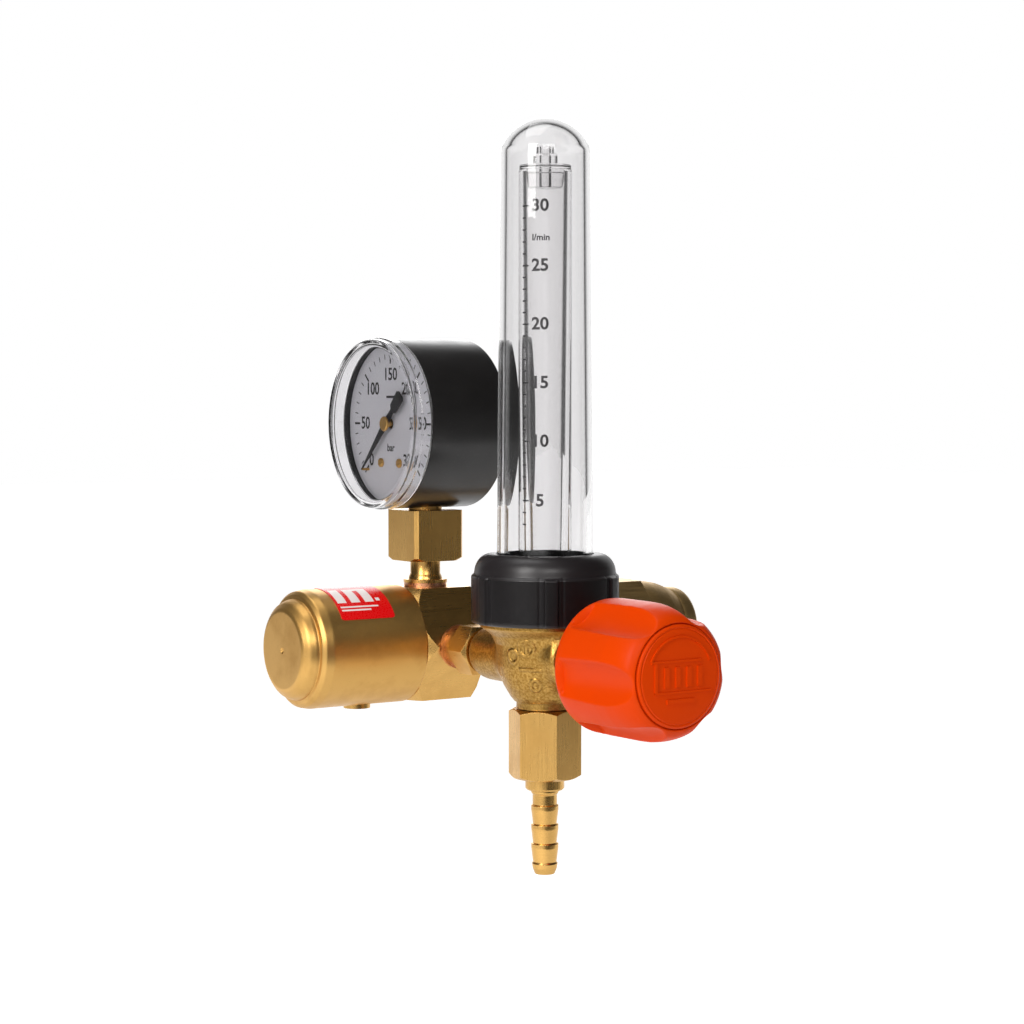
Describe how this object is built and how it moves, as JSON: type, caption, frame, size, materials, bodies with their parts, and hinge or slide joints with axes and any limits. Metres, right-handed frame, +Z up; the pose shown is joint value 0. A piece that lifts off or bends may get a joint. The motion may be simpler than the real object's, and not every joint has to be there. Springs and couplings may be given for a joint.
{
  "type": "gas regulator",
  "caption": "Preset shielding-gas regulator with cylinder pressure gauge, flow tube, flow knob and barbed hose outlet.",
  "frame": {"origin": "centre of the inlet nut's mouth, on the inlet axis", "axes": "+X towards the cylinder valve, +Z up along the flow tube, flow knob on -Y"},
  "size_m": [0.145, 0.1505, 0.2107],
  "materials": {
    "machined_brass": "milled bar brass with fine tool marks",
    "turned_brass": "turned brass with fine rings",
    "dull_brass": "dull, mottled brass",
    "forged_brass": "rough forged brass",
    "copper": "copper",
    "sintered_bronze": "porous sintered bronze",
    "black_paint": "satin black enamel",
    "black_plastic": "moulded nylon, slightly glossy",
    "orange_plastic": "moulded plastic, semi-gloss",
    "black_pointer": "matt black",
    "white_dial": "white enamel with black print",
    "red_label": "red printed film",
    "clear_window": "clear moulded plastic",
    "clear_tube": "clear moulded polycarbonate",
    "white_nylon": "white nylon",
    "black_rubber": "nitrile rubber",
    "float_steel": "polished ball",
    "spring_steel": "plain steel"
  },
  "bodies": {
    "regulator": {"body_block": "machined_brass", "bonnet": "turned_brass", "label": "red_label", "vent_plug": "turned_brass", "bonnet_seal": "black_rubber", "stem_seal": "black_rubber", "main_spring": "spring_steel", "spring_shim": "spring_steel", "nozzle": "turned_brass", "nozzle_seal": "copper", "inlet_stem": "turned_brass", "inlet_filter": "sintered_bronze", "inlet_gasket": "white_nylon", "gauge_socket": "machined_brass", "gauge_gasket": "copper", "gauge_case": "black_paint", "gauge_window": "clear_window", "gauge_dial": "white_dial", "dial_screws": "turned_brass", "stop_pin": "turned_brass", "movement_frame": "turned_brass", "bourdon_tube": "copper", "tip_link": "turned_brass", "outlet_fitting": "machined_brass", "fitting_gasket": "copper", "flow_body": "forged_brass", "collar_nut": "black_plastic", "outer_tube": "clear_tube", "metering_tube": "clear_tube", "float_stops": "clear_tube", "tube_seals": "black_rubber", "valve_gland": "turned_brass", "hose_tail": "turned_brass"},
    "inlet_nut": {"inlet_nut": "dull_brass"},
    "piston": {"piston": "turned_brass", "piston_seal": "black_rubber", "seat_pad": "white_nylon"},
    "pointer": {"pointer": "black_pointer", "pointer_arbor": "turned_brass"},
    "sector": {"sector_gear": "turned_brass"},
    "float": {"float_ball": "float_steel"},
    "spindle_seal": {"spindle_seal": "black_rubber"},
    "knob": {"knob": "orange_plastic", "knob_cap": "orange_plastic", "knob_screw": "spring_steel", "valve_spindle": "turned_brass"},
    "hose_nut": {"hose_nut": "machined_brass"}
  },
  "joints": [
    {"name": "inlet_nut_turn", "type": "hinge", "parent": "regulator", "child": "inlet_nut", "pos_m": [-0.028, 0, 0], "axis": [1, 0, 0], "continuous": true},
    {"name": "hose_nut_turn", "type": "hinge", "parent": "regulator", "child": "hose_nut", "pos_m": [-0.096, -0.0633, -0.023], "axis": [0, 0, 1], "continuous": true},
    {"name": "piston_slide", "type": "slide", "parent": "regulator", "child": "piston", "axis": [1, 0, 0], "range_m": [0, 0.0008], "stiffness_N_per_m": 20000, "springref_m": -0.004, "deforming": ["main_spring"]},
    {"name": "pointer_turn", "type": "hinge", "parent": "regulator", "child": "pointer", "pos_m": [-0.112, 0, 0.0657], "axis": [1, 0, 0], "range_deg": [0, 270], "stiffness_Nm_per_rad": 0.0004, "springref_deg": -28.65},
    {"name": "sector_turn", "type": "hinge", "parent": "regulator", "child": "sector", "pos_m": [-0.1035, 0.006, 0.05531], "axis": [1, 0, 0], "range_deg": [-54.5, 0.5]},
    {"name": "float_rise", "type": "slide", "parent": "regulator", "child": "float", "axis": [0, 0, 1], "range_m": [0, 0.1025]},
    {"name": "needle_slide", "type": "slide", "parent": "regulator", "child": "spindle_seal", "axis": [0, -1, 0], "range_m": [0, 0.0021]},
    {"name": "knob_turn", "type": "hinge", "parent": "spindle_seal", "child": "knob", "pos_m": [-0.096, -0.1033, 0.0015], "axis": [0, -1, 0], "range_deg": [0, 900]}
  ],
  "couplings": [
    {"joint": "sector_turn", "follows": "pointer_turn", "ratio": -0.2},
    {"joint": "needle_slide", "follows": "knob_turn", "m_per_rad": 0.00012732}
  ]
}
